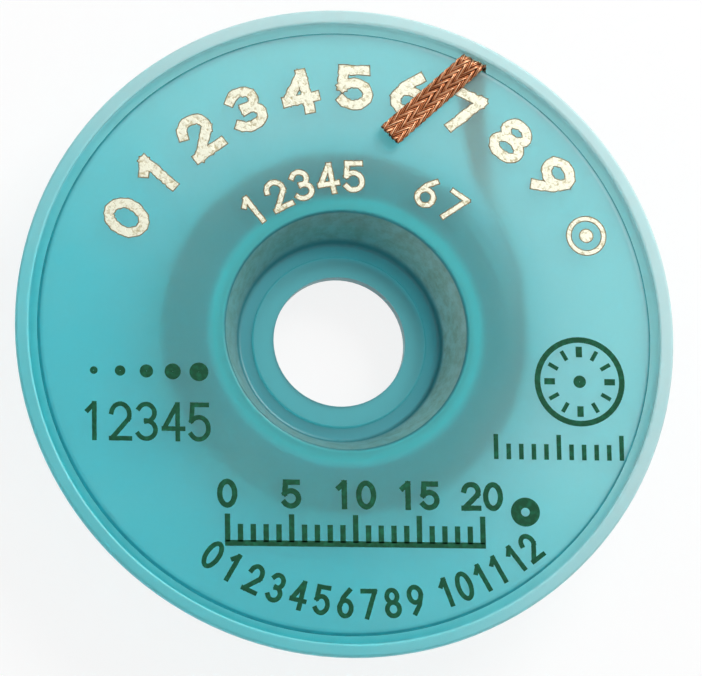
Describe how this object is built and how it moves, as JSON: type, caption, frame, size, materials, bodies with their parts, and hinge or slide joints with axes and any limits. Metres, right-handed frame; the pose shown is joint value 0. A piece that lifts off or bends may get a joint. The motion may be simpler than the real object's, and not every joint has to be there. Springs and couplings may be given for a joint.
{
  "type": "desoldering braid bobbin",
  "caption": "Snap-together translucent bobbin holding a winding of flat copper desoldering braid, its free end folded over the rim.",
  "frame": {"origin": "centre of the flat base ring that the bobbin lies on", "axes": "+Z along the bobbin's axis, out of the front face; +Y towards the top of the front face's markings"},
  "size_m": [0.052, 0.052, 0.009],
  "materials": {
    "front_plastic": "translucent teal, injection moulded, satin",
    "rear_plastic": "translucent teal, injection moulded, satin",
    "wound_braid": "bare copper wire braid",
    "free_braid": "bare copper wire braid"
  },
  "bodies": {
    "rear_half": {"rear_shell": "rear_plastic", "braid_core": "wound_braid", "braid_turns": "wound_braid", "braid_tail": "free_braid"},
    "front_half": {"front_shell": "front_plastic"}
  },
  "joints": [
    {"name": "front_half_turn", "type": "hinge", "parent": "rear_half", "child": "front_half", "pos_m": [0, 0, 0.0015], "axis": [0, 0, 1], "continuous": true}
  ]
}
